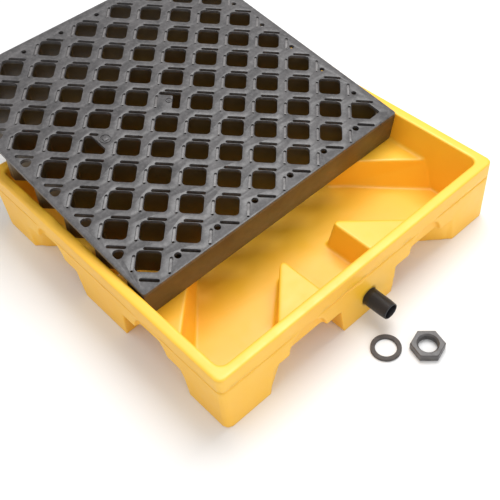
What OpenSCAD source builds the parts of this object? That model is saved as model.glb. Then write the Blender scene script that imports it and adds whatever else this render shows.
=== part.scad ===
// Spill containment pallet for one drum: a moulded square sump tray on feet,
// a lift-out grate deck, and a drain fitting with its seal ring and lock nut.
// Origin: middle of the tray's underside, on the floor. X runs along the
// drain side, +Y leads away from the drain side, +Z is up.
// The deck is shown slid back and leaning on the rear rim, with the seal ring
// and the lock nut lying on the floor in front of the drain.

/* [Sump tray] */
// Outer width and depth of the square tray
tray_w = 667; // [620:1:720]
// Height of the rim above the floor
rim_h = 139; // [130:1:150]
// Thickness of the outer wall and width of the rim
wall = 17; // [14:1:20]
// Thickness of the floor and of the skin round each pocket
skin = 8; // [6:1:9]
// Height of the ledges that carry the deck
ledge_h = 71; // [66:1:78]
// Length of each corner foot along the wall
corner_foot = 95; // [85:1:105]
// Width of the foot in the middle of each side
middle_foot = 125; // [110:1:135]
// Depth of the shadow line below the rim
groove_drop = 34; // [28:1:40]

/* [Grate deck] */
// Width and length of the square deck
deck_w = 623; // [600:1:626]
// Depth of the deck from its top to the underside of its ribs
deck_h = 72; // [60:1:78]
// Thickness of the deck's top plate
plate = 8; // [5:1:12]
// Thickness of the ribs and skirts under the plate
rib = 6; // [4:1:8]
// Width of each square drain opening
opening = 42.4; // [36:0.1:46]
// Distance from the outside of the tray to the deck's front edge
deck_back = 225; // [190:1:230]

/* [Drain] */
// Outer diameter of the drain pipe
pipe_d = 33.4; // [30:0.1:34]
// Bore of the drain pipe
pipe_bore = 26.6; // [20:0.1:27]
// How far the pipe stands out of the tray wall
pipe_out = 50; // [40:1:60]
// Diameter of the pipe's shank inside the wall
shank_d = 34.2; // [34.2:0.1:36]
// Height of the drain axis above the floor
drain_z = 43.5; // [40:0.5:46]
// Width across the flats of the lock nut
nut_af = 53; // [48:1:56]
// Thickness of the lock nut
nut_t = 15; // [10:1:18]
// Outer diameter of the seal ring
ring_d = 54; // [50:1:58]

/* [Hidden] */
$fn = 64;

eps = 1;                        // overshoot of every cut
half = tray_w / 2;

// Tray
tray_corner_r = 12;
cavity_corner_r = 16;
groove = 1.5;
groove_w = 2.5;
// Each pocket is a triangle in plan. Its sides lean in towards the roof.
roof_h = ledge_h - skin;
pocket_end = half - middle_foot / 2;    // far end of a pocket, from the corner
lean_foot = 8;                  // lean of the mouth's ends over the roof height
lean_slope = 29;                // lean of the slanted wall at the outer wall
tip_low = 152;                  // how far in the pocket's tip lies, at the floor
tip_high = 139;                 // the same at the roof
mouth_depth = wall - skin;
arch_r = 42;
arch_at = 185;                  // middle of the arch, from the corner
skin_diag = skin * sqrt(2);     // skin on the slanted wall, measured along the side

// Drain
hole_clear = 0.4;
shank_proud = 0.5;              // how far the shank stands out of the wall
flange_d = 54;
flange_t = 8;
flange_gap = 0.4;
ring_hole_d = 38;
ring_t = 5;
nut_hole_d = 34;
ring_at = [-39, -409];
nut_at = [11, -459];
nut_turn = 45;

// Deck: square openings on a lattice turned 45 degrees to the edges
edge_cells = 7;                 // openings along each edge
step = deck_w / (2 * edge_cells + 0.142);    // half the spacing along an edge
pitch = step * sqrt(2);                 // spacing along the lattice
first = deck_w / 2 - (edge_cells - 1) * step;
last = 2 * edge_cells - 2;
slot_l = 34;
slot_w = 4.4;
slot_off = 0.41 * pitch;
small_hole_d = 10;
edge_hole_d = 20;
small_hole_off = 0.33 * pitch;  // from the middle of a half cell
edge_hole_off = 0.27 * pitch;
side_inset = 5;                 // the ribs end this far inside the left and right edges
deck_gap = 0.6;
deck_turn = 0.5;                // the deck was not set down quite straight
deck_shift = 1;
deck_front = -half + deck_back;
lean = atan2(rim_h - ledge_h, half - wall - deck_front);

// Square with true round corners, centred on the origin
module round_square(size, r) {
    square([size, size - 2 * r], center = true);
    square([size - 2 * r, size], center = true);
    for (x = [-1, 1], y = [-1, 1])
        translate([x, y] * (size / 2 - r)) circle(r);
}

// Upright prism on a right triangle, for the pocket in the left half of the
// drain side. near and far are where it starts and ends along the wall, and
// tip is how far in its point lies, each at the bottom [0] and at the top [1].
module pocket_prism(near, far, tip, z) {
    function ring(i) = [
        [near[i] - half, -half - eps, z[i]],
        [far[i] - half, -half - eps, z[i]],
        [far[i] - half, tip[i] - half, z[i]]
    ];
    polyhedron(
        points = concat(ring(0), ring(1)),
        faces = [[0, 1, 2], [5, 4, 3], [0, 3, 4, 1], [1, 4, 5, 2], [2, 5, 3], [2, 3, 0]]
    );
}

// All eight copies of what stands in the left half of the drain side
module eight() {
    for (side = [0:3], flip = [0, 1])
        rotate(90 * side) mirror([flip, 0, 0]) children();
}

// The pocket's opening through the wall, with a round arch over it
module mouth() {
    intersection() {
        pocket_prism(
            [corner_foot, corner_foot + lean_foot],
            [pocket_end, pocket_end - lean_foot],
            [pocket_end - corner_foot, pocket_end - corner_foot - 2 * lean_foot],
            [-eps, roof_h]
        );
        translate([-half, -half - eps, -2 * eps])
            cube([half, mouth_depth + eps, rim_h]);
    }
    translate([arch_at - half, mouth_depth - half, roof_h]) rotate([90, 0, 0])
        cylinder(h = mouth_depth + eps, r = arch_r);
}

module pocket() {
    pocket_prism(
        [corner_foot, corner_foot + lean_slope],
        [pocket_end, pocket_end - lean_foot],
        [tip_low, tip_high],
        [-eps, roof_h]
    );
    mouth();
}

// The ledge is the skin over the pocket, and it carries the deck
module ledge() {
    pocket_prism(
        [corner_foot, corner_foot + lean_slope] - [skin_diag, skin_diag],
        [pocket_end, pocket_end - lean_foot] + [skin, skin],
        [tip_low, tip_high] + [skin + skin_diag, skin + skin_diag],
        [skin / 2, ledge_h]
    );
}

module sump_tray() {
    color("gold")
    difference() {
        union() {
            difference() {
                linear_extrude(rim_h) round_square(tray_w, tray_corner_r);
                translate([0, 0, skin])
                    linear_extrude(rim_h) round_square(tray_w - 2 * wall, cavity_corner_r);
            }
            intersection() {
                eight() ledge();
                linear_extrude(rim_h) round_square(tray_w - wall, tray_corner_r);
            }
        }
        eight() pocket();
        translate([0, 0, rim_h - groove_drop])
            linear_extrude(groove_w) difference() {
                square(tray_w + 2 * eps, center = true);
                round_square(tray_w - 2 * groove, tray_corner_r - groove);
            }
        translate([0, wall - half + eps, drain_z]) rotate([90, 0, 0])
            cylinder(h = wall + 2 * eps, d = shank_d + 2 * hole_clear);
    }
}

// Middle of the cell at column i, row j of the half-step lattice
function cell(i, j) = [first + i * step - deck_w / 2, first + j * step];
function cells(lo, hi) = [
    for (i = [lo:hi], j = [lo:hi]) if ((i + j) % 2 == 0) cell(i, j)
];

module diamond(size) {
    rotate(45) square(size, center = true);
}

// The two slots beside a cell: one on its rear side, one on its left side
module rear_slot() {
    rotate(45) translate([slot_off, 0]) square([slot_w, slot_l], center = true);
}

module left_slot() {
    rotate(135) translate([slot_off, 0]) square([slot_w, slot_l], center = true);
}

module plate_outline() {
    difference() {
        translate([-deck_w / 2, 0]) square(deck_w);
        for (c = cells(0, last)) translate(c) {
            diamond(opening);
            rear_slot();
            left_slot();
        }
        for (k = [1:2:last]) {
            translate(cell(k, -1)) {
                rear_slot();
                left_slot();
                translate([0, small_hole_off]) circle(d = small_hole_d);
            }
            translate(cell(k, last + 1)) translate([0, -small_hole_off])
                circle(d = small_hole_d);
            translate(cell(-1, k)) {
                rear_slot();
                translate([edge_hole_off, 0]) circle(d = edge_hole_d);
            }
            translate(cell(last + 1, k)) {
                left_slot();
                translate([-small_hole_off, 0]) circle(d = small_hole_d);
            }
        }
    }
}

// Ribs run between all cells, also those that the deck's edges cut
module rib_outline() {
    difference() {
        translate([side_inset - deck_w / 2, 0]) square([deck_w - 2 * side_inset, deck_w]);
        for (c = cells(-1, last + 1)) translate(c) diamond(pitch - rib);
    }
    for (y = [0, deck_w - rib]) translate([-deck_w / 2, y]) square([deck_w, rib]);
}

module grate_deck() {
    color("dimgray")
    translate([deck_shift, deck_front, ledge_h + deck_gap])
    rotate([lean, 0, 0]) rotate(deck_turn) {
        translate([0, 0, deck_h - plate]) linear_extrude(plate) plate_outline();
        linear_extrude(deck_h - plate) rib_outline();
    }
}

// Pipe with a shank through the wall and a round flange inside the sump
module drain_fitting() {
    inside = wall + flange_gap;
    color("black")
    translate([0, -half, drain_z]) rotate([-90, 0, 0])
    difference() {
        union() {
            translate([0, 0, -pipe_out]) cylinder(h = pipe_out, d = pipe_d);
            translate([0, 0, -shank_proud])
                cylinder(h = shank_proud + inside + flange_t, d = shank_d);
            translate([0, 0, inside]) cylinder(h = flange_t, d = flange_d);
        }
        translate([0, 0, -pipe_out - eps])
            cylinder(h = pipe_out + inside + flange_t + 2 * eps, d = pipe_bore);
    }
}

module seal_ring() {
    color("darkslategray")
    translate(concat(ring_at, 0)) difference() {
        cylinder(h = ring_t, d = ring_d);
        translate([0, 0, -eps]) cylinder(h = ring_t + 2 * eps, d = ring_hole_d);
    }
}

module lock_nut() {
    color("gray")
    translate(concat(nut_at, 0)) rotate(nut_turn) difference() {
        cylinder(h = nut_t, d = nut_af / cos(30), $fn = 6);
        translate([0, 0, -eps]) cylinder(h = nut_t + 2 * eps, d = nut_hole_d);
    }
}

sump_tray();
grate_deck();
drain_fitting();
seal_ring();
lock_nut();
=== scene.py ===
# %% [markdown]
# # A spill pallet with its deck slid back
# The object is a square sump tray with a grate deck that lifts out, and a drain
# pipe with its seal ring and lock nut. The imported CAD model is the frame: it says
# where each part sits and how it moves. This lesson makes the finished look of
# each part around that frame. Everything is in metres.

# %% Load the frame
import math

import bmesh
import bpy
from mathutils import Matrix, Vector


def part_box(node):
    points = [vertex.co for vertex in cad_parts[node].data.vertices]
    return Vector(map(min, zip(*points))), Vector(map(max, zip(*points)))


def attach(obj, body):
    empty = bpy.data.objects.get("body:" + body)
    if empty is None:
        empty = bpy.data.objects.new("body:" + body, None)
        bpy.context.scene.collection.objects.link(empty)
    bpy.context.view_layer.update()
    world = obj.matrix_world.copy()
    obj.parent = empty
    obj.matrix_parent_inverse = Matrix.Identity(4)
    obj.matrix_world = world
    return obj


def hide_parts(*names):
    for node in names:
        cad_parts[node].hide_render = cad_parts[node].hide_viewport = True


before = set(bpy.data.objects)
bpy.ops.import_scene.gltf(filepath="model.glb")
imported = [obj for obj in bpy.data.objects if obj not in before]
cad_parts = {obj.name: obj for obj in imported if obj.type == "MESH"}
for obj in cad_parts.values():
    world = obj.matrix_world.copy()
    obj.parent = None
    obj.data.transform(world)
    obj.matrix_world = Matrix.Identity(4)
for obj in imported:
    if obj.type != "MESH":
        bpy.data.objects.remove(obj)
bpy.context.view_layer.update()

MM = 0.001
print("CAD nodes:", ", ".join(sorted(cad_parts)))

# %% [markdown]
# ## Camera
# The object is seen from above, over the corner left of the drain. A short
# telephoto lens keeps the square tray's edges nearly parallel. The camera is
# built from the direction that it looks in and the direction that is up.
# The small shift keeps the vertical lines where the lens axis would put them.

# %% Camera
LOOK = Vector((0.43727, 0.49331, -0.75196)).normalized()
UP = Vector((0.54352, 0.52119, 0.65798))
CAMERA_AT = Vector((-0.6623, -0.8805, 1.1451))

right = LOOK.cross(UP).normalized()
up = right.cross(LOOK).normalized()
camera_data = bpy.data.cameras.new("camera")
camera_data.lens = 57.38
camera_data.sensor_width = 36.0
camera_data.shift_x = -0.08
camera_data.clip_end = 50.0
camera = bpy.data.objects.new("camera", camera_data)
turn = Matrix((right, up, -LOOK)).transposed().to_4x4()
camera.matrix_world = Matrix.Translation(CAMERA_AT) @ turn
bpy.context.scene.collection.objects.link(camera)
bpy.context.scene.camera = camera
print("camera looks down at", round(math.degrees(math.asin(-LOOK.z)), 1), "degrees")

# %% [markdown]
# ## Light and floor
# Plastic goods are shown best under one big soft box overhead, with white card
# all round to fill the shadows. Here the soft box is a large area light, a weaker
# one stands in front, and the card is a pale world. A soft box gives long gentle highlights on
# satin plastic, where a small lamp would give hard spots. The plain colour
# transform keeps the strong yellow of the tray, which a film-like one would fade.

# %% Light and floor
scene = bpy.context.scene
scene.view_settings.view_transform = "Standard"
scene.view_settings.look = "None"


def soft_box(name, at, target, size, power):
    """A square area light of that size, aimed at a target."""
    data = bpy.data.lights.new(name, "AREA")
    data.shape = "SQUARE"
    data.size = size
    data.energy = power
    lamp = bpy.data.objects.new(name, data)
    lamp.location = at
    aim = Vector(target) - Vector(at)
    lamp.rotation_euler = aim.to_track_quat("-Z", "Y").to_euler()
    scene.collection.objects.link(lamp)
    return lamp


BOX_SIZE = 1.2
OVERHEAD_POWER = 31.0         # watts
FRONT_POWER = 7.0
CARD_STRENGTH = 0.75

soft_box("overhead_box", (0.6, 0.1, 1.9), (0.0, -0.05, 0.1), BOX_SIZE, OVERHEAD_POWER)
soft_box("front_box", (-0.2, -2.6, 1.3), (0.0, 0.0, 0.05), BOX_SIZE, FRONT_POWER)

world = bpy.data.worlds.new("pale_card")
world.use_nodes = True
card = world.node_tree.nodes["Background"]
card.inputs["Color"].default_value = (1.0, 1.0, 1.0, 1.0)
card.inputs["Strength"].default_value = CARD_STRENGTH
scene.world = world

FLOOR_SIZE = 8.0
floor_mesh = bmesh.new()
bmesh.ops.create_grid(floor_mesh, x_segments=1, y_segments=1, size=FLOOR_SIZE / 2)
floor_data = bpy.data.meshes.new("floor")
floor_mesh.to_mesh(floor_data)
floor_mesh.free()
floor = bpy.data.objects.new("floor", floor_data)
scene.collection.objects.link(floor)
floor_paint = bpy.data.materials.new("pale_floor")
floor_paint.use_nodes = True
paint = floor_paint.node_tree.nodes["Principled BSDF"]
paint.inputs["Base Color"].default_value = (0.9, 0.9, 0.9, 1.0)
paint.inputs["Roughness"].default_value = 0.8
floor.data.materials.append(floor_paint)
print("floor", FLOOR_SIZE, "m square")

# %% [markdown]
# ## Sump tray: the rough block
# The real tray is moulded in one piece of polyethylene. It is a square box with
# round corners, standing on its corners and on the middle of each side. It could
# be modelled face by face with subdivision, but the ledges, pockets and arches
# meet at awkward angles. So it is made the way a pattern maker would cut it from
# a block: solid shapes are added and taken away first, and the soft radii of the
# mould come last, over the whole surface at once.

# %% Shapes that are added and cut away
tray_low, tray_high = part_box("sump_tray")
HALF = (tray_high.x - tray_low.x) / 2
RIM_H = tray_high.z
WALL = 17 * MM
SKIN = 8 * MM
LEDGE_H = 71 * MM
ROOF_H = LEDGE_H - SKIN
PAST = 2 * MM                # how far a cutter reaches past what it cuts


def to_object(name, form):
    """A new object at the origin that owns the form's mesh."""
    data = bpy.data.meshes.new(name)
    form.to_mesh(data)
    form.free()
    piece = bpy.data.objects.new(name, data)
    scene.collection.objects.link(piece)
    return piece


def round_edges(form, edges, radius, segments=4):
    """Bevels the edges with a true radius."""
    bmesh.ops.bevel(
        form, geom=edges, offset=radius, offset_type="OFFSET", affect="EDGES",
        segments=segments, profile=0.5, material=-1,
    )


def is_upright(edge, steepness=4.0):
    run = edge.verts[0].co - edge.verts[1].co
    return abs(run.z) > steepness * math.hypot(run.x, run.y)


def block(low, high, corner_radius, draft=0.0):
    """A box with round upright edges, whose bottom is smaller by the draft on each side."""
    form = bmesh.new()
    bmesh.ops.create_cube(form, size=1.0)
    bmesh.ops.scale(form, vec=high - low, verts=form.verts)
    bmesh.ops.translate(form, vec=(high + low) / 2, verts=form.verts)
    round_edges(form, [e for e in form.edges if is_upright(e)], corner_radius, 8)
    bottom = [v for v in form.verts if v.co.z < (low.z + high.z) / 2]
    shrink = 1.0 - 2 * draft / (high.x - low.x)
    bmesh.ops.scale(form, vec=(shrink, shrink, 1.0), verts=bottom)
    return form


def wedge(near, far, tip, depth, z, tip_radius):
    """An upright triangle for one pocket or ledge, in the left half of the drain side.

    near and far are where it starts and ends along the outer wall, and tip is
    how far in its point lies, each at the bottom and at the top. depth is how
    deep in the wall it begins. All are measured from the tray's outside corner.
    """
    form = bmesh.new()

    def outline(end):
        along = near[end] + (far[end] - near[end]) * depth / tip[end]
        return [(along, depth, z[end]), (far[end], depth, z[end]), (far[end], tip[end], z[end])]

    base = form.faces.new([form.verts.new(point) for point in outline(0)])
    grown = bmesh.ops.extrude_face_region(form, geom=[base])
    top = [v for v in grown["geom"] if isinstance(v, bmesh.types.BMVert)]
    for corner in top:
        nearest = min(range(3), key=lambda k: (Vector(outline(0)[k]) - corner.co).length)
        corner.co = outline(1)[nearest]
    bmesh.ops.recalc_face_normals(form, faces=form.faces)
    if tip_radius:
        tips = [e for e in form.edges if is_upright(e, 1.5) and e.verts[0].co.y > depth + MM]
        round_edges(form, tips, tip_radius * math.tan(math.radians(67.5)), 8)
    bmesh.ops.translate(form, vec=(-HALF, -HALF, 0.0), verts=form.verts)
    return form


def bar(radius, length, middle):
    """A round bar that lies along Y."""
    form = bmesh.new()
    bmesh.ops.create_cone(
        form, cap_ends=True, segments=64, radius1=radius, radius2=radius, depth=length
    )
    lay = Matrix.Rotation(math.radians(90), 3, "X")
    bmesh.ops.rotate(form, matrix=lay, verts=form.verts)
    bmesh.ops.translate(form, vec=middle, verts=form.verts)
    return form


def eight(name, make):
    """The shape that make() gives, in both halves of all four sides, as one object."""
    whole = bmesh.new()
    for quarter in range(4):
        for side in (1, -1):
            form = make()
            bmesh.ops.scale(form, vec=(side, 1, 1), verts=form.verts)
            if side < 0:
                bmesh.ops.reverse_faces(form, faces=form.faces)
            around = Matrix.Rotation(math.radians(90 * quarter), 3, "Z")
            bmesh.ops.rotate(form, matrix=around, verts=form.verts)
            part = bpy.data.meshes.new("part")
            form.to_mesh(part)
            form.free()
            whole.from_mesh(part)
            bpy.data.meshes.remove(part)
    return to_object(name, whole)


CORNER_FOOT = 95 * MM
MIDDLE_FOOT = 125 * MM
POCKET_END = HALF - MIDDLE_FOOT / 2
LEAN_FOOT = 8 * MM           # how far the pocket's square end leans over its height
LEAN_SLOPE = 29 * MM         # how far its slanted wall leans, along the side
TIP_LOW = 152 * MM           # how far in its point lies, at the floor
TIP_HIGH = 139 * MM          # the same at its roof
ARCH_R = 42 * MM
ARCH_AT = 185 * MM
MOUTH_DEPTH = WALL - SKIN
SKIN_ALONG = SKIN * math.sqrt(2)
print("tray", round(2 * HALF / MM), "mm wide and", round(RIM_H / MM), "mm high")

# %% [markdown]
# ## Sump tray: adding and cutting
# The order is the one of the real mould: the box, its hollow, the eight ledges
# that carry the deck, and then the pockets and arches that the fingers or a
# fork reach into from below.
# Boolean modifiers do this exactly, so no faces are worked out by hand.

# %% Cut the tray


def combine(piece, other, operation):
    """Applies one exact boolean to the piece and throws the tool away."""
    step = piece.modifiers.new(operation.lower(), "BOOLEAN")
    step.operation = operation
    step.solver = "EXACT"
    step.object = other
    keep_result(piece)
    bpy.data.objects.remove(other)


def keep_result(piece):
    """Makes what the modifiers show the piece's own mesh."""
    sight = bpy.context.evaluated_depsgraph_get()
    shown = bpy.data.meshes.new_from_object(piece.evaluated_get(sight))
    old = piece.data
    piece.modifiers.clear()
    piece.data = shown
    bpy.data.meshes.remove(old)


TRAY_CORNER_R = 12 * MM
CAVITY_CORNER_R = 16 * MM
WALL_DRAFT = 3 * MM
LEDGE_START = 8 * MM         # the ledges begin inside the wall's thickness
TIP_R = 9 * MM

tray = to_object("sump_tray_moulding", block(tray_low, tray_high, TRAY_CORNER_R))
hollow_low = Vector((-HALF + WALL, -HALF + WALL, SKIN))
hollow_high = Vector((HALF - WALL, HALF - WALL, 2 * RIM_H - SKIN))
hollow = block(hollow_low, hollow_high, CAVITY_CORNER_R, 2 * WALL_DRAFT)
combine(tray, to_object("hollow", hollow), "DIFFERENCE")


def ledge():
    return wedge(
        (CORNER_FOOT - SKIN_ALONG, CORNER_FOOT + LEAN_SLOPE - SKIN_ALONG),
        (POCKET_END + SKIN, POCKET_END - LEAN_FOOT + SKIN),
        (TIP_LOW + SKIN + SKIN_ALONG, TIP_HIGH + SKIN + SKIN_ALONG),
        LEDGE_START, (SKIN / 2, LEDGE_H), TIP_R,
    )


def pocket():
    return wedge(
        (CORNER_FOOT, CORNER_FOOT + LEAN_SLOPE),
        (POCKET_END, POCKET_END - LEAN_FOOT),
        (TIP_LOW, TIP_HIGH),
        MOUTH_DEPTH - MM, (-PAST, ROOF_H), 0.0,
    )


def mouth():
    """The opening through the wall, which narrows inwards along the pocket's slanted wall."""
    form = bmesh.new()
    outline = [
        form.verts.new((CORNER_FOOT - PAST - HALF, -PAST - HALF, -PAST)),
        form.verts.new((POCKET_END - HALF, -PAST - HALF, -PAST)),
        form.verts.new((POCKET_END - LEAN_FOOT - HALF, -PAST - HALF, ROOF_H)),
        form.verts.new((CORNER_FOOT + LEAN_FOOT - PAST - HALF, -PAST - HALF, ROOF_H)),
    ]
    grown = bmesh.ops.extrude_face_region(form, geom=[form.faces.new(outline)])
    far = [v for v in grown["geom"] if isinstance(v, bmesh.types.BMVert)]
    bmesh.ops.translate(form, vec=(0.0, MOUTH_DEPTH + PAST, 0.0), verts=far)
    for corner in [v for v in far if v.co.x < ARCH_AT - HALF]:
        # the slanted wall leans more inside, so the opening's end twists to meet it
        corner.co.x += MOUTH_DEPTH + PAST + (LEAN_SLOPE - LEAN_FOOT if corner.co.z > 0 else 0.0)
    bmesh.ops.recalc_face_normals(form, faces=form.faces)
    return form


def arch():
    middle = Vector((ARCH_AT - HALF, (MOUTH_DEPTH - PAST) / 2 - HALF, ROOF_H))
    return bar(ARCH_R, MOUTH_DEPTH + PAST, middle)


combine(tray, eight("ledges", ledge), "UNION")
combine(tray, eight("pockets", pocket), "DIFFERENCE")
combine(tray, eight("mouths", mouth), "DIFFERENCE")
combine(tray, eight("arches", arch), "DIFFERENCE")
print("tray block has", len(tray.data.polygons), "faces")

# %% [markdown]
# ## Sump tray: the moulded surface
# A mould for this plastic has no sharp corner anywhere. Bevels on so many mixed
# corners would fail, so the block is turned into an even skin of small squares,
# and the skin is relaxed until every edge has a radius of a few millimetres.
# Flat places have no use for so many squares, so the last step thins them out.

# %% Soften the tray
SKIN_GRAIN = 2.8 * MM
RELAX_ROUNDS = 3
KEPT_SHARE = 0.34            # the share of the triangles that thinning leaves

remesh = tray.modifiers.new("even_skin", "REMESH")
remesh.mode = "VOXEL"
remesh.voxel_size = SKIN_GRAIN
relax = tray.modifiers.new("mould_radii", "SMOOTH")
relax.factor = 0.5
relax.iterations = RELAX_ROUNDS
thin = tray.modifiers.new("thin_out", "DECIMATE")
thin.ratio = KEPT_SHARE
keep_result(tray)
print("tray skin has", len(tray.data.polygons), "faces")

# %% [markdown]
# ## Sump tray: shadow line and drain hole
# The mould opens along a line that runs all round below the rim, and it leaves a
# shallow groove. The skin is cut level at a few heights close together, and what
# lies on the outside between those cuts is pressed in a little. The groove
# fades where an arch comes near. The drain hole is bored last, so it stays crisp.

# %% Groove and drain hole
GROOVE_Z = RIM_H - 34 * MM
GROOVE_HALF = 2.2 * MM
GROOVE_DEEP = 2.0 * MM
GROOVE_CUTS = 7
CORNER_ZONE = 14 * MM        # this near a corner the groove is pressed in slantwise
FACE_ZONE = 1.5 * MM         # what lies this near the outer face is on it
GROOVE_ZONE = 6 * MM         # what lies this near it is pressed in
PIPE_R = 16.7 * MM
drain_low, drain_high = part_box("drain_fitting")
DRAIN_Z = (drain_low.z + drain_high.z) / 2
SHANK_R = 17.1 * MM
DRAIN_HOLE_R = SHANK_R + 0.4 * MM



def groove_direction(spot, along):
    """Which way the groove is pressed in: straight into a wall, or to the middle at a corner."""
    if along > HALF - CORNER_ZONE:
        way = Vector((-spot.x, -spot.y, 0))
    elif abs(spot.x) > abs(spot.y):
        way = Vector((-spot.x, 0, 0))
    else:
        way = Vector((0, -spot.y, 0))
    return way.normalized()


form = bmesh.new()
form.from_mesh(tray.data)
for cut in range(GROOVE_CUTS):
    height = GROOVE_Z + GROOVE_HALF * (2 * cut / (GROOVE_CUTS - 1) - 1)
    bmesh.ops.bisect_plane(
        form, geom=form.verts[:] + form.edges[:] + form.faces[:],
        dist=1e-6, plane_co=(0, 0, height), plane_no=(0, 0, 1),
    )
for vert in form.verts:
    off = abs(vert.co.z - GROOVE_Z) / GROOVE_HALF
    reach = max(abs(vert.co.x), abs(vert.co.y))
    along = min(abs(vert.co.x), abs(vert.co.y)) if reach > HALF - FACE_ZONE else 0.0
    if off < 1 and reach > HALF - GROOVE_ZONE:
        from_arch = abs(along - (HALF - ARCH_AT)) / ARCH_R
        depth = GROOVE_DEEP * (1 - off * off) * min(1.0, max(0.0, from_arch * 1.4 - 0.5))
        vert.co += groove_direction(vert.co, along) * depth
form.to_mesh(tray.data)
form.free()

bore = to_object("drain_bore", bar(DRAIN_HOLE_R, 4 * WALL, Vector((0, -HALF + WALL, DRAIN_Z))))
combine(tray, bore, "DIFFERENCE")
tray.data.shade_smooth()
print("tray finished with", len(tray.data.polygons), "faces")

# %% [markdown]
# ## Grate deck: its outlines
# The deck is a plate on a lattice of ribs, with square openings that stand on
# their corners. It could be built from one cell and an array, but the cells at
# the edges are all different. Flat curves suit it better: every opening is an
# outline with true round corners, and Blender fills what is between them.
# One small function rounds the corners of any outline.

# %% Outlines with round corners
DECK_W = 623 * MM
DECK_H = 72 * MM
PLATE = 8 * MM
RIB = 6 * MM
OPENING = 42.4 * MM
EDGE_CELLS = 7
EDGE_SHARE = 0.142           # the cut cells' middles lie just inside the edges
STEP = DECK_W / (2 * EDGE_CELLS + EDGE_SHARE)     # half the spacing of the cells along an edge
PITCH = STEP * math.sqrt(2)
FIRST = DECK_W / 2 - (EDGE_CELLS - 1) * STEP
LAST = 2 * EDGE_CELLS - 2
HALF_DECK = DECK_W / 2
DIAGONAL = math.radians(45)


def arc_corner(before, corner, after, radius, steps):
    """Points on the arc that rounds one corner."""
    back = (before - corner).normalized()
    ahead = (after - corner).normalized()
    half_angle = back.angle(ahead) / 2
    longest = 0.49 * min((before - corner).length, (after - corner).length)
    tangent = min(radius / math.tan(half_angle), longest)
    middle = corner + (back + ahead).normalized() * tangent / math.cos(half_angle)
    start = corner + back * tangent - middle
    sweep = start.angle_signed(corner + ahead * tangent - middle)
    return [
        middle + Matrix.Rotation(-sweep * k / steps, 2) @ start
        for k in range(steps + 1)
    ]


def rounded(corners, radius, steps=5):
    """The outline of a polygon with its corners rounded."""
    corners = [Vector(c) for c in corners]
    outline = []
    for k, corner in enumerate(corners):
        after = corners[(k + 1) % len(corners)]
        outline += arc_corner(corners[k - 1], corner, after, radius, steps)
    return outline


def placed(outline, centre, turn=0.0):
    """An outline turned about its middle and moved to a centre."""
    around = Matrix.Rotation(turn, 2)
    return [around @ Vector(p) + Vector(centre) for p in outline]


def rectangle(width, height, radius, steps=5):
    x, y = width / 2, height / 2
    return rounded([(-x, -y), (x, -y), (x, y), (-x, y)], radius, steps)


def ring(radius, steps=20):
    return [
        Vector((radius * math.cos(2 * math.pi * k / steps), radius * math.sin(2 * math.pi * k / steps)))
        for k in range(steps)
    ]


def cell(i, j):
    """The middle of the cell in column i, row j of the half-step lattice."""
    return Vector((FIRST + i * STEP - HALF_DECK, FIRST + j * STEP))


whole_cells = [(i, j) for i in range(LAST + 1) for j in range(LAST + 1) if (i + j) % 2 == 0]
print(len(whole_cells), "whole openings,", round(PITCH / MM, 1), "mm apart")

# %% [markdown]
# ## Grate deck: plate and ribs
# Each cell has a narrow slot through its rear side and a shallow groove along its
# left side that ends in a small drain hole. The cells that the edges cut have a
# small round hole or a rounded triangle in place of the opening. Two cells carry
# round mould bosses: one corner is cut off for one, and the other stands on a tab.
# The plate is two layers, because the grooves stop inside it.

# %% Openings of the plate
CORNER_R = 8.5 * MM
TAB_CORNER_R = 3.6 * MM
SLOT_L = 34 * MM
SLOT_W = 6.2 * MM
CHANNEL_W = 5 * MM           # the grooves are narrower than the slots
SLOT_OFF = 0.41 * PITCH
CHANNEL_OFF = SLOT_OFF - 0.5 * MM
GROOVE_IN = 3.2 * MM
WEEP_R = 2.9 * MM
SMALL_HOLE_R = 5 * MM
FRONT_HOLE_R = 6.2 * MM
SLOT_SLIDE = 6 * MM          # the slots and grooves aren't centred on the openings
SMALL_HOLE_OFF = 0.33 * PITCH
SIDE_HOLE_OFF = 0.3 * PITCH
CUT_CELL = (2, 6)
TAB_CELL = (6, 6)
POINT_CELL = (LAST, 0)
REAR = Vector((1, 1)).normalized()
LEFT = Vector((-1, 1)).normalized()

o = OPENING / 2
opening = rectangle(OPENING, OPENING, CORNER_R)
cut_opening = rounded([(-o, -o), (o, -o), (o, -0.36 * o), (-0.36 * o, o), (-o, o)], CORNER_R * 0.8)
tab_x, tab_y = 0.28 * o, 0.62 * o            # the inner corner of the tab
tab_opening = rounded([(o, -o), (o, o), (-o, o), (-o, tab_y), (tab_x, tab_y), (tab_x, -o)], TAB_CORNER_R)
POINT_AT = (35 * MM, 0.0)
point_opening = rounded([(-o, -o), (0.66 * o, -o), POINT_AT, (0.66 * o, o), (-o, o)], 4.5 * MM)
slot = rectangle(SLOT_W, SLOT_L, SLOT_W / 2.05)
channel = rectangle(CHANNEL_W, SLOT_L, CHANNEL_W / 2.05)
short_slot = rectangle(SLOT_W, SLOT_L / 2, SLOT_W / 2.05)
SHORT_SLIDE = SLOT_L / 4 - SLOT_SLIDE + 2 * MM
side_hole = rounded([(-11 * MM, -15 * MM), (14.5 * MM, 0), (-11 * MM, 15 * MM)], 7 * MM)
special = {CUT_CELL: cut_opening, TAB_CELL: tab_opening, POINT_CELL: point_opening}


def rear_slot(centre, outline=slot, slide=-SLOT_SLIDE):
    return placed(outline, centre + REAR * SLOT_OFF + LEFT * slide, DIAGONAL)


def left_slot(centre):
    return placed(channel, centre + LEFT * CHANNEL_OFF - REAR * SLOT_SLIDE, 3 * DIAGONAL)


def weep_hole(centre):
    """The drain hole at the near end of a cell's left groove."""
    return placed(ring(WEEP_R, 12), centre + LEFT * CHANNEL_OFF - REAR * (SLOT_SLIDE + SLOT_L / 2 - WEEP_R))


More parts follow.
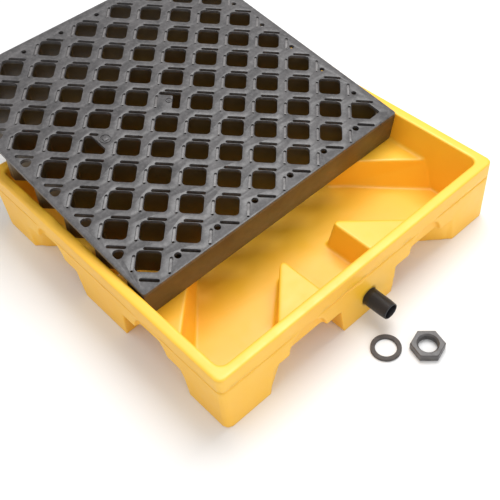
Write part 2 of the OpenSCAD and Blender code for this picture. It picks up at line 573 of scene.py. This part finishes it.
through = []                 # openings that go right through the plate
grooves = []                 # grooves that stop inside it
weeps = []
for spot in whole_cells:
    middle = cell(*spot)
    # turned half a right angle, so that an opening's flat sides face REAR and LEFT
    through.append(placed(special.get(spot, opening), middle, -DIAGONAL))
    if spot == CUT_CELL:
        through.append(rear_slot(middle, short_slot, SHORT_SLIDE))
    else:
        through.append(rear_slot(middle))
    grooves.append(left_slot(middle))
    weeps.append(weep_hole(middle))
for k in range(1, LAST + 1, 2):
    front, rear = cell(k, -1), cell(k, LAST + 1)
    left, right_cell = cell(-1, k), cell(LAST + 1, k)
    through.append(rear_slot(front))
    through.append(placed(ring(FRONT_HOLE_R), front + Vector((0, SMALL_HOLE_OFF))))
    grooves.append(left_slot(front))
    weeps.append(weep_hole(front))
    through.append(placed(ring(SMALL_HOLE_R), rear - Vector((0, SMALL_HOLE_OFF))))
    through.append(rear_slot(left))
    through.append(placed(side_hole, left + Vector((SIDE_HOLE_OFF, 0))))
    grooves.append(left_slot(right_cell))
    weeps.append(weep_hole(right_cell))
    through.append(placed(ring(SMALL_HOLE_R), right_cell - Vector((SMALL_HOLE_OFF, 0))))
through.append(rear_slot(cell(-1, -1)))
print(len(through), "openings and", len(grooves), "grooves")

# %% [markdown]
# ## Grate deck: filling the outlines
# A flat curve with holes in it is filled and given a height and a round edge in
# one go. Cutting some two hundred holes with booleans would take far longer, and
# the small round lip on every edge would have to be bevelled afterwards.

# %% Fill the outlines
PLATE_CORNER_R = 5 * MM
LIP = 0.5 * MM               # radius of the plate's worn edges


def filled(name, border, holes, low, high, lip):
    """A flat plate between two heights, with holes and softly rounded edges."""
    flat = bpy.data.curves.new(name, "CURVE")
    flat.dimensions = "2D"
    flat.fill_mode = "BOTH"
    flat.extrude = (high - low) / 2 - lip
    flat.bevel_depth = lip
    flat.bevel_resolution = 1
    flat.offset = -lip
    for outline in [border] + holes:
        line = flat.splines.new("POLY")
        line.points.add(len(outline) - 1)
        for point, place in zip(line.points, outline):
            point.co = (place.x, place.y, 0.0, 1.0)
        line.use_cyclic_u = True
    shape = bpy.data.objects.new(name, flat)
    scene.collection.objects.link(shape)
    sight = bpy.context.evaluated_depsgraph_get()
    data = bpy.data.meshes.new_from_object(shape.evaluated_get(sight))
    bpy.data.objects.remove(shape)
    form = bmesh.new()
    form.from_mesh(data)
    bpy.data.meshes.remove(data)
    bmesh.ops.remove_doubles(form, verts=form.verts, dist=1e-6)
    bmesh.ops.translate(form, vec=(0, 0, (low + high) / 2), verts=form.verts)
    return to_object(name, form)


border = placed(rectangle(DECK_W, DECK_W, PLATE_CORNER_R), (0, HALF_DECK))
GROOVE_FLOOR = DECK_H - GROOVE_IN
OVERLAP = 0.3 * MM
top_layer = filled("plate_top", border, through + grooves, GROOVE_FLOOR - OVERLAP, DECK_H, LIP)
low_layer = filled("plate_low", border, through + weeps, DECK_H - PLATE, GROOVE_FLOOR, 0.2 * MM)
print("plate layers have", len(top_layer.data.polygons), "and", len(low_layer.data.polygons), "faces")

# %% [markdown]
# ## Grate deck: the rib lattice
# Under the plate the ribs run between all cells. Along the left and right sides
# they end in a zigzag a little inside the plate's edge. That is again one border
# with holes in it. A full-height skirt closes the front and the back.

# %% Rib lattice
SIDE_INSET = 5 * MM
RIB_RISE = 0.3 * MM          # the ribs end this far above the foot of the skirts
REACH = (PITCH - RIB) / math.sqrt(2)         # from a cell's middle to the corner of its shaft
SHAFT_R = 4 * MM
SKIRT_CORNER_R = 1.5 * MM

shaft = placed(rectangle(PITCH - RIB, PITCH - RIB, SHAFT_R), (0, 0), DIAGONAL)
shafts = [placed(shaft, cell(i, j)) for i, j in whole_cells]
front_y = FIRST - STEP                       # middle line of the front row of cut cells
slack = REACH - (RIB - front_y)              # half the width of a cut shaft at the skirt
for k in range(1, LAST + 1, 2):
    x = cell(k, 0).x
    tip = front_y + REACH
    shafts.append(rounded([(x - slack, RIB), (x + slack, RIB), (x, tip)], SHAFT_R))
    base, back_tip = DECK_W - RIB, DECK_W - tip
    shafts.append(rounded([(x - slack, base), (x, back_tip), (x + slack, base)], SHAFT_R))

edge_x = HALF_DECK - SIDE_INSET
inner_x = HALF_DECK - front_y - REACH
gap = REACH - abs(HALF_DECK - front_y - edge_x)
zigzag = [(edge_x, RIB / 2), (inner_x + RIB - front_y, RIB), (edge_x, front_y + gap)]
for k in range(1, LAST + 1, 2):
    y = cell(0, k).y
    zigzag += [(edge_x, y - gap), (inner_x, y), (edge_x, y + gap)]
zigzag += [(edge_x, DECK_W - front_y - gap), (inner_x + RIB - front_y, DECK_W - RIB)]
zigzag += [(edge_x, DECK_W - RIB / 2)]
rib_border = rounded(zigzag + [(-x, y) for x, y in reversed(zigzag)], 1.6 * MM, 3)
ribs = filled("ribs", rib_border, shafts, RIB_RISE, DECK_H - PLATE + OVERLAP, 0.2 * MM)
skirt = rectangle(DECK_W, RIB, SKIRT_CORNER_R)
skirts = [
    filled("skirt", placed(skirt, (0, y)), [], 0.0, DECK_H - PLATE + OVERLAP, 0.6 * MM)
    for y in (RIB / 2, DECK_W - RIB / 2)
]
print("rib lattice has", len(ribs.data.polygons), "faces")

# %% [markdown]
# ## Grate deck: mould bosses
# The two bosses are where the mould's marks sit. They are kept plain: a raised
# ring with a diamond in it, and a raised ring with a dimpled stud. A ring is a
# small profile spun once round, as on a lathe.

# %% Mould bosses


def turned(profile, steps=48):
    """A closed profile of (radius, height) spun once round the Z axis."""
    form = bmesh.new()
    points = [form.verts.new((radius, 0.0, height)) for radius, height in profile]
    edges = [form.edges.new((points[k - 1], points[k])) for k in range(len(points))]
    bmesh.ops.spin(
        form, geom=points + edges, cent=(0, 0, 0), axis=(0, 0, 1),
        angle=math.tau, steps=steps, use_merge=True, use_duplicate=False,
    )
    bmesh.ops.remove_doubles(form, verts=form.verts, dist=1e-7)
    bmesh.ops.recalc_face_normals(form, faces=form.faces)
    return form


BOSS_H = 1.7 * MM


def boss_ring(name, radius, at):
    """A low ring that stands out of the plate."""
    wide = 1.8 * MM
    high = BOSS_H
    low = -0.5 * MM
    profile = [(radius - wide, low), (radius, low), (radius, high * 0.6), (radius - 0.4 * MM, high),
               (radius - wide + 0.4 * MM, high), (radius - wide, high * 0.6)]
    form = turned(profile, 32)
    bmesh.ops.translate(form, vec=(at.x, at.y, DECK_H), verts=form.verts)
    return to_object(name, form)


BOSS_R = 11 * MM
TAB_BOSS_R = 6.5 * MM
cut_boss_at = cell(*CUT_CELL) + Vector((24 * MM, -1 * MM))
tab_boss_at = cell(*TAB_CELL) + Vector((-1.0 * MM, 0.0))
bosses = [boss_ring("boss", BOSS_R, cut_boss_at), boss_ring("tab_boss", TAB_BOSS_R, tab_boss_at)]

diamond = bmesh.new()
bmesh.ops.create_cube(diamond, size=1.0)
bmesh.ops.scale(diamond, vec=(9.5 * MM, 9.5 * MM, 2.8 * MM), verts=diamond.verts)
round_edges(diamond, diamond.edges[:], 0.4 * MM, 2)
bmesh.ops.translate(diamond, vec=(cut_boss_at.x, cut_boss_at.y, DECK_H), verts=diamond.verts)
bosses.append(to_object("boss_diamond", diamond))
stud = turned([(0.6 * MM, -0.5 * MM), (2.6 * MM, -0.5 * MM), (2.6 * MM, 0.4 * MM), (2.0 * MM, 0.8 * MM),
               (0.6 * MM, 0.8 * MM)], 24)
bmesh.ops.translate(stud, vec=(tab_boss_at.x, tab_boss_at.y, DECK_H), verts=stud.verts)
bosses.append(to_object("tab_stud", stud))
print(len(bosses), "boss pieces")

# %% [markdown]
# ## Grate deck: putting it in place
# The finished deck is slid back, turned a little and leaned on the tray's rear
# rim, and that place goes into its mesh. Before it moves, each point stores how
# far it lies below the deck's top, because the finish needs that later.

# %% Put the deck in place
DECK_BACK = 225 * MM
DECK_GAP = 0.6 * MM
DECK_SHIFT = 1 * MM
DECK_TURN = math.radians(0.5)
deck_front = -HALF + DECK_BACK
deck_lean = math.atan2(RIM_H - LEDGE_H, HALF - WALL - deck_front)
deck_place = (
    Matrix.Translation((DECK_SHIFT, deck_front, LEDGE_H + DECK_GAP))
    @ Matrix.Rotation(deck_lean, 4, "X")
    @ Matrix.Rotation(DECK_TURN, 4, "Z")
)


def joined(name, pieces):
    """One object from several, in one mesh."""
    whole = bmesh.new()
    for piece in pieces:
        whole.from_mesh(piece.data)
        bpy.data.objects.remove(piece)
    return to_object(name, whole)


deck = joined("grate_deck_moulding", [top_layer, low_layer, ribs] + skirts + bosses)
depth = deck.data.attributes.new("depth_below_top", "FLOAT", "POINT")
depth.data.foreach_set("value", [(DECK_H - vert.co.z) / DECK_H for vert in deck.data.vertices])
deck.data.transform(deck_place)
print("deck leans", round(math.degrees(deck_lean), 1), "degrees and has", len(deck.data.polygons), "faces")

# %% [markdown]
# ## Drain pipe, seal ring and lock nut
# All three are turned parts. The pipe has a round flange inside the sump and a
# screw thread outside. At this pitch a true helix can't be told from rings, so
# the thread is rings, which keeps the spin closed. The lock nut is turned too:
# its outside is then pushed out onto a hexagon, except where the chamfer of the
# real nut cuts the corners back to a circle.

# %% Turned parts
BORE_R = 13.3 * MM
FLANGE_R = 27 * MM
FLANGE_T = 8 * MM
SHANK_FROM = 49.8 * MM       # the thicker shank starts here, just outside the wall
THREAD = 2.2 * MM
THREAD_DEEP = 0.55 * MM
THREAD_LENGTH = 40 * MM
pipe_len = drain_high.y - drain_low.y


def pipe_profile():
    """Half the section of the pipe, from its outer end up to the flange and back down the bore."""
    end_r = PIPE_R - 0.9 * MM
    outside = [(end_r - 0.9 * MM, 0.0), (end_r, 0.8 * MM)]
    rings = int(THREAD_LENGTH / THREAD)
    for k in range(rings):
        crest = end_r + (PIPE_R - end_r) * min(1.0, (k + 1) / 6)
        z = 1.2 * MM + k * THREAD
        outside += [(crest - THREAD_DEEP, z), (crest, z + 0.4 * THREAD), (crest, z + 0.6 * THREAD)]
    shoulder = pipe_len - FLANGE_T
    shank = SHANK_FROM - 0.3 * MM
    outside += [(PIPE_R, 1.2 * MM + rings * THREAD), (PIPE_R, shank), (SHANK_R, SHANK_FROM)]
    outside += [(SHANK_R, shoulder), (FLANGE_R - 0.6 * MM, shoulder)]
    outside += [(FLANGE_R, shoulder + 0.6 * MM), (FLANGE_R, pipe_len - 1.2 * MM)]
    outside += [(FLANGE_R - 1.2 * MM, pipe_len)]
    inside = [(BORE_R + 1.0 * MM, pipe_len), (BORE_R, pipe_len - 1.0 * MM)]
    inside += [(BORE_R, 1.6 * MM), (BORE_R + 0.9 * MM, 0.0)]
    return outside + inside


pipe = turned(pipe_profile(), 64)
bmesh.ops.rotate(pipe, matrix=Matrix.Rotation(math.radians(-90), 3, "X"), verts=pipe.verts)
bmesh.ops.translate(pipe, vec=(0, drain_low.y, DRAIN_Z), verts=pipe.verts)
pipe = to_object("drain_pipe", pipe)

ring_low, ring_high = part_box("seal_ring")
RING_R = (ring_high.x - ring_low.x) / 2
RING_HOLE_R = 19 * MM
RING_T = ring_high.z
soft = 0.7 * MM
seal = turned([
    (RING_HOLE_R, soft), (RING_HOLE_R + soft, 0),
    (RING_R - soft, 0), (RING_R, soft),
    (RING_R, RING_T - soft), (RING_R - soft, RING_T),
    (RING_HOLE_R + soft, RING_T), (RING_HOLE_R, RING_T - soft),
], 72)
ring_at = (ring_low + ring_high) / 2
bmesh.ops.translate(seal, vec=(ring_at.x, ring_at.y, 0), verts=seal.verts)
seal = to_object("seal_washer", seal)

nut_low, nut_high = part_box("lock_nut")
NUT_T = nut_high.z
NUT_FLATS = 53 * MM
NUT_BORE_R = 17 * MM
NUT_TURN = math.radians(45)
NUT_STEPS = 96
flat_r = NUT_FLATS / 2
chamfer_r = flat_r * 1.06


def nut_profile():
    """Half the nut's section: its outside first, then down the threaded bore."""
    outside = [(flat_r * 0.9, 0.0), (flat_r, 1.2 * MM), (flat_r, NUT_T - 1.4 * MM), (flat_r * 0.95, NUT_T)]
    lip = [(NUT_BORE_R + 2.6 * MM, NUT_T), (NUT_BORE_R + 1.9 * MM, NUT_T - 0.7 * MM)]
    lip += [(NUT_BORE_R, NUT_T - 2.4 * MM)]
    threads = []
    turns = int((NUT_T - 4.8 * MM) / THREAD)
    for k in range(turns):
        z = NUT_T - 2.6 * MM - k * THREAD
        threads += [(NUT_BORE_R, z - 0.2 * THREAD), (NUT_BORE_R + THREAD_DEEP, z - 0.6 * THREAD)]
    return outside + lip + threads + [(NUT_BORE_R, 1.8 * MM), (NUT_BORE_R + 1.4 * MM, 0.0)]


nut = turned(nut_profile(), NUT_STEPS)
for vert in nut.verts:
    radius = math.hypot(vert.co.x, vert.co.y)
    if radius < flat_r * 0.88:
        continue
    angle = math.atan2(vert.co.y, vert.co.x)
    sixth = math.radians(60)
    off_flat = (angle - sixth / 2) % sixth - sixth / 2
    hexagon_r = radius / math.cos(off_flat)
    if 1.3 * MM < vert.co.z < NUT_T - 1.5 * MM or radius > flat_r * 0.99:
        grown = hexagon_r
    else:
        grown = min(hexagon_r, chamfer_r)
    vert.co.x *= grown / radius
    vert.co.y *= grown / radius
nut_at = (nut_low + nut_high) / 2
bmesh.ops.rotate(nut, matrix=Matrix.Rotation(NUT_TURN, 3, "Z"), verts=nut.verts)
bmesh.ops.translate(nut, vec=(nut_at.x, nut_at.y, 0), verts=nut.verts)
nut = to_object("lock_nut_turned", nut)
print("pipe", round(pipe_len / MM), "mm long, nut", round(NUT_FLATS / MM), "mm across its flats")

# %% [markdown]
# ## Plastic and rubber
# Moulded polyethylene is satin, with a faint orange peel from the mould and
# scuffs from use. Each finish below is one shader whose colour, roughness and
# height come from noise at several sizes, read in the object's own coordinates,
# so they stay put when a part moves. A painted image would need unwrapping and
# would blur up close.

# %% Finish helpers


class Finish:
    """A material with a Principled shader and short names for what feeds it."""

    def __init__(self, name):
        self.material = bpy.data.materials.new(name)
        self.material.use_nodes = True
        self.nodes = self.material.node_tree.nodes
        self.links = self.material.node_tree.links
        self.shader = self.nodes["Principled BSDF"]
        self.place = self.nodes.new("ShaderNodeTexCoord").outputs["Object"]

    def noise(self, scale, detail=4.0, roughness=0.55, stretch=None, seed=0.0):
        """Noise of about 1 / scale metres. stretch squeezes it along an axis."""
        mapping = self.nodes.new("ShaderNodeMapping")
        mapping.inputs["Location"].default_value = (seed, seed * 0.7, seed * 0.3)
        if stretch:
            mapping.inputs["Scale"].default_value = stretch
        self.links.new(self.place, mapping.inputs["Vector"])
        node = self.nodes.new("ShaderNodeTexNoise")
        node.inputs["Scale"].default_value = scale
        node.inputs["Detail"].default_value = detail
        node.inputs["Roughness"].default_value = roughness
        self.links.new(mapping.outputs["Vector"], node.inputs["Vector"])
        return node.outputs["Fac"]

    def stored(self, name):
        """A value that is stored on the mesh itself."""
        node = self.nodes.new("ShaderNodeAttribute")
        node.attribute_name = name
        return node.outputs["Fac"]

    def band(self, value, low, high, out_low=0.0, out_high=1.0):
        """Maps a value from one range onto another, clamped."""
        node = self.nodes.new("ShaderNodeMapRange")
        node.inputs["From Min"].default_value = low
        node.inputs["From Max"].default_value = high
        node.inputs["To Min"].default_value = out_low
        node.inputs["To Max"].default_value = out_high
        self.links.new(value, node.inputs["Value"])
        return node.outputs["Result"]

    def mix(self, factor, first, second):
        """Mixes two colours, each a tuple or another node's output."""
        node = self.nodes.new("ShaderNodeMix")
        node.data_type = "RGBA"
        self.links.new(factor, node.inputs["Factor"])
        for socket, colour in ((node.inputs[6], first), (node.inputs[7], second)):
            if isinstance(colour, tuple):
                socket.default_value = colour + (1.0,)
            else:
                self.links.new(colour, socket)
        return node.outputs[2]

    def maths(self, operation, first, second):
        node = self.nodes.new("ShaderNodeMath")
        node.operation = operation
        for socket, value in zip(node.inputs, (first, second)):
            if isinstance(value, (int, float)):
                socket.default_value = value
            else:
                self.links.new(value, socket)
        return node.outputs[0]

    def bump(self, *layers):
        """Adds heights. Each layer is (height, depth in metres)."""
        normal = None
        for height, depth in layers:
            node = self.nodes.new("ShaderNodeBump")
            node.inputs["Strength"].default_value = 1.0
            node.inputs["Distance"].default_value = depth
            self.links.new(height, node.inputs["Height"])
            if normal:
                self.links.new(normal, node.inputs["Normal"])
            normal = node.outputs["Normal"]
        self.links.new(normal, self.shader.inputs["Normal"])

    def feed(self, socket, output):
        self.links.new(output, self.shader.inputs[socket])

    def set(self, **values):
        for name, value in values.items():
            self.shader.inputs[name.replace("_", " ")].default_value = value


print("finish helpers ready")

# %% [markdown]
# ### Yellow polyethylene
# The colour runs all through the plastic, so wear only dulls it. A broad noise
# shifts the yellow a little, fine scratches in two directions lighten it, and
# the peel of the mould shows in the highlights.

# %% Yellow polyethylene
yellow = Finish("yellow_polyethylene")
cloud = yellow.band(yellow.noise(5.0, 3.0), 0.35, 0.65)
colour = yellow.mix(cloud, (0.96, 0.5, 0.018), (0.98, 0.555, 0.028))
scratch_a = yellow.band(yellow.noise(60.0, 5.0, 0.7, (1.0, 14.0, 3.0), 3.0), 0.66, 0.74)
scratch_b = yellow.band(yellow.noise(55.0, 5.0, 0.7, (12.0, 1.0, 3.0), 7.0), 0.67, 0.75)
scratches = yellow.maths("MAXIMUM", scratch_a, scratch_b)
worn = yellow.mix(yellow.maths("MULTIPLY", scratches, 0.35), colour, (0.98, 0.64, 0.13))
yellow.feed("Base Color", worn)
gloss = yellow.band(yellow.noise(22.0, 6.0, 0.65, None, 11.0), 0.3, 0.7, 0.36, 0.52)
yellow.feed("Roughness", yellow.maths("ADD", gloss, yellow.maths("MULTIPLY", scratches, 0.12)))
yellow.bump(
    (yellow.noise(12.0, 2.0), 0.0012),
    (yellow.noise(260.0, 3.0), 0.00006),
    (scratches, -0.00003),
)
yellow.set(IOR=1.55, Specular_IOR_Level=0.75)
tray.data.materials.append(yellow.material)
print("tray finish set")

# %% [markdown]
# ### Scuffed charcoal polyethylene
# Drums are dragged over the deck, so its top is mottled grey with scuffs. The groove
# floors are painted pale, a painted highlight that stands for their lit walls, and the
# ribs and skirts below are dark charcoal with a painted warm bounce light from the yellow
# tray. The depth below the top, which is stored on the mesh, says which of the three a spot is.

# %% Charcoal polyethylene
charcoal = Finish("charcoal_polyethylene")
blotch = charcoal.band(charcoal.noise(26.0, 6.0, 0.7), 0.35, 0.68)
base = charcoal.mix(blotch, (0.024, 0.022, 0.023), (0.075, 0.07, 0.071))
fine = charcoal.band(charcoal.noise(160.0, 4.0, 0.7, None, 5.0), 0.45, 0.75)
dusty = charcoal.mix(charcoal.maths("MULTIPLY", fine, 0.5), base, (0.16, 0.15, 0.15))
scuff_a = charcoal.band(charcoal.noise(48.0, 5.0, 0.7, (1.0, 9.0, 1.0), 2.0), 0.62, 0.74)
scuff_b = charcoal.band(charcoal.noise(44.0, 5.0, 0.7, (8.0, 1.0, 1.0), 9.0), 0.63, 0.75)
scuffs = charcoal.maths("MAXIMUM", scuff_a, scuff_b)
top_colour = charcoal.mix(charcoal.maths("MULTIPLY", scuffs, 0.5), dusty, (0.22, 0.21, 0.21))
below_top = charcoal.stored("depth_below_top")
groove_share = GROOVE_IN / DECK_H
# painted highlight: this mask picks the groove floors, which are painted pale in place of light on the
# groove walls
groove_highlight_mask = charcoal.maths(
    "MULTIPLY",
    charcoal.band(below_top, 0.8 * groove_share, 0.95 * groove_share),
    charcoal.band(below_top, 1.05 * groove_share, 1.2 * groove_share, 1.0, 0.0),
)
# painted highlight colour for the groove floors: a pale grey that stands in for light on the groove walls
painted_groove_highlight = charcoal.mix(fine, (0.13, 0.12, 0.12), (0.2, 0.19, 0.185))
top_with_groove_highlight = charcoal.mix(groove_highlight_mask, top_colour, painted_groove_highlight)
# painted bounce light: the dark charcoal ribs and skirts are tinted warm brown for yellow light bounced up
# from the tray
rib_colour_with_painted_bounce = charcoal.mix(blotch, (0.062, 0.04, 0.018), (0.09, 0.062, 0.03))
rib_bounce_mask = charcoal.band(below_top, PLATE / DECK_H * 0.6, PLATE / DECK_H * 1.1)
charcoal.feed("Base Color", charcoal.mix(rib_bounce_mask, top_with_groove_highlight, rib_colour_with_painted_bounce))
sheen = charcoal.band(charcoal.noise(30.0, 6.0, 0.7, None, 4.0), 0.3, 0.7, 0.34, 0.5)
charcoal.feed("Roughness", sheen)
charcoal.bump(
    (charcoal.noise(35.0, 3.0), 0.0003),
    (charcoal.noise(420.0, 3.0), 0.00008),
    (scuffs, -0.00004),
)
charcoal.set(IOR=1.5, Specular_IOR_Level=0.65)
deck.data.materials.append(charcoal.material)
print("deck finish set")

# %% [markdown]
# ### Drain parts
# The pipe and the nut are hard, slightly glossy polypropylene, and the ring is
# matt rubber with a dusty bloom. All three use the same helper with other values.

# %% Drain finishes


def small_part(name, dark, light, roughness, grain, depth):
    """A finish for a small part: mottled colour, uneven gloss and a fine grain."""
    finish = Finish(name)
    cloud = finish.band(finish.noise(90.0, 5.0, 0.65), 0.35, 0.7)
    speck = finish.band(finish.noise(700.0, 3.0, 0.6, None, 3.0), 0.5, 0.75)
    tone = finish.mix(cloud, dark, light)
    bright = tuple(1.8 * channel for channel in light)
    finish.feed("Base Color", finish.mix(finish.maths("MULTIPLY", speck, 0.3), tone, bright))
    uneven = finish.noise(140.0, 5.0)
    finish.feed("Roughness", finish.band(uneven, 0.3, 0.7, roughness - 0.07, roughness + 0.09))
    finish.bump((finish.noise(grain, 3.0), depth))
    return finish


pipe_finish = small_part(
    "black_polypropylene", (0.006, 0.005, 0.006), (0.014, 0.011, 0.013), 0.34, 600.0, 0.00004
)
ring_finish = small_part(
    "matt_rubber", (0.05, 0.043, 0.04), (0.085, 0.075, 0.07), 0.66, 900.0, 0.00006
)
nut_finish = small_part(
    "grey_polypropylene", (0.06, 0.055, 0.055), (0.1, 0.093, 0.092), 0.36, 650.0, 0.00004
)
pipe.data.materials.append(pipe_finish.material)
seal.data.materials.append(ring_finish.material)
nut.data.materials.append(nut_finish.material)
print("drain finishes set")

# %% [markdown]
# ## Riding on the frame
# Each finished piece takes the place of its CAD node and moves with that node's
# body. Edges sharper than a set angle stay crisp on the turned parts and the deck.

# %% Ride and replace
CRISP = math.radians(32)
for piece in (deck, pipe, seal, nut):
    piece.data.shade_smooth()
    piece.data.set_sharp_from_angle(angle=CRISP)

placing = (
    (tray, "tray", "sump_tray", "tray_plastic"),
    (deck, "deck", "grate_deck", "deck_plastic"),
    (pipe, "fitting", "drain_fitting", "fitting_plastic"),
    (seal, "ring", "seal_ring", "seal_rubber"),
    (nut, "nut", "lock_nut", "nut_plastic"),
)
for piece, body, node, slot_name in placing:
    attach(piece, body)
    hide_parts(node)
    print(piece.name, "rides on", body)

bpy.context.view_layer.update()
